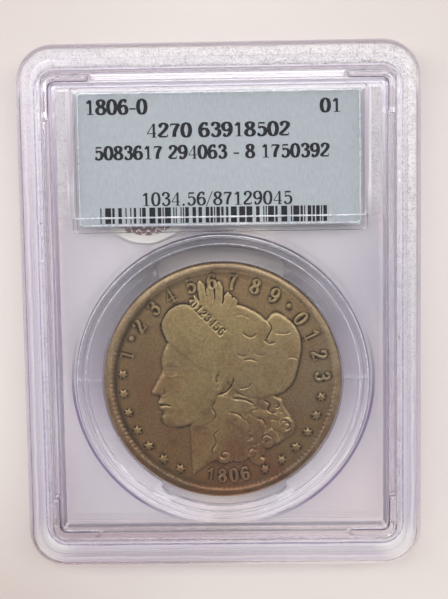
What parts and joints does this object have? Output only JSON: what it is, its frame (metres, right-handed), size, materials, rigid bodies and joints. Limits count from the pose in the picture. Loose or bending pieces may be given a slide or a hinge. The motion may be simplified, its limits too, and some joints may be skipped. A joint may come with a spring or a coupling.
{
  "type": "graded coin slab",
  "caption": "Sealed clear display slab holding a large toned silver coin in a split centring ring, with a printed paper label above it.",
  "frame": {"origin": "middle of the rear rim's resting plane, under the centre of the bounding box", "axes": "+X to the right of the front face, +Y towards the end with the label, +Z out of the front face"},
  "size_m": [0.0628, 0.083, 0.0083],
  "materials": {
    "clear_shell": "clear glossy polystyrene with a faint lilac cast and a frosted band over the weld",
    "weld": "fused clear polystyrene, uneven and frosted",
    "clear_ring": "clear satin plastic",
    "coin_silver": "worn silver with brown and olive toning",
    "label_paper": "pale blue-grey paper card with black print",
    "sticker_paper": "cream paper sticker with dark red print"
  },
  "bodies": {
    "root": {"front_shell": "clear_shell", "rear_shell": "clear_shell", "weld_bead": "weld", "gasket_upper_half": "clear_ring", "gasket_lower_half": "clear_ring", "coin": "coin_silver", "label_card": "label_paper", "rear_sticker": "sticker_paper"}
  },
  "joints": []
}
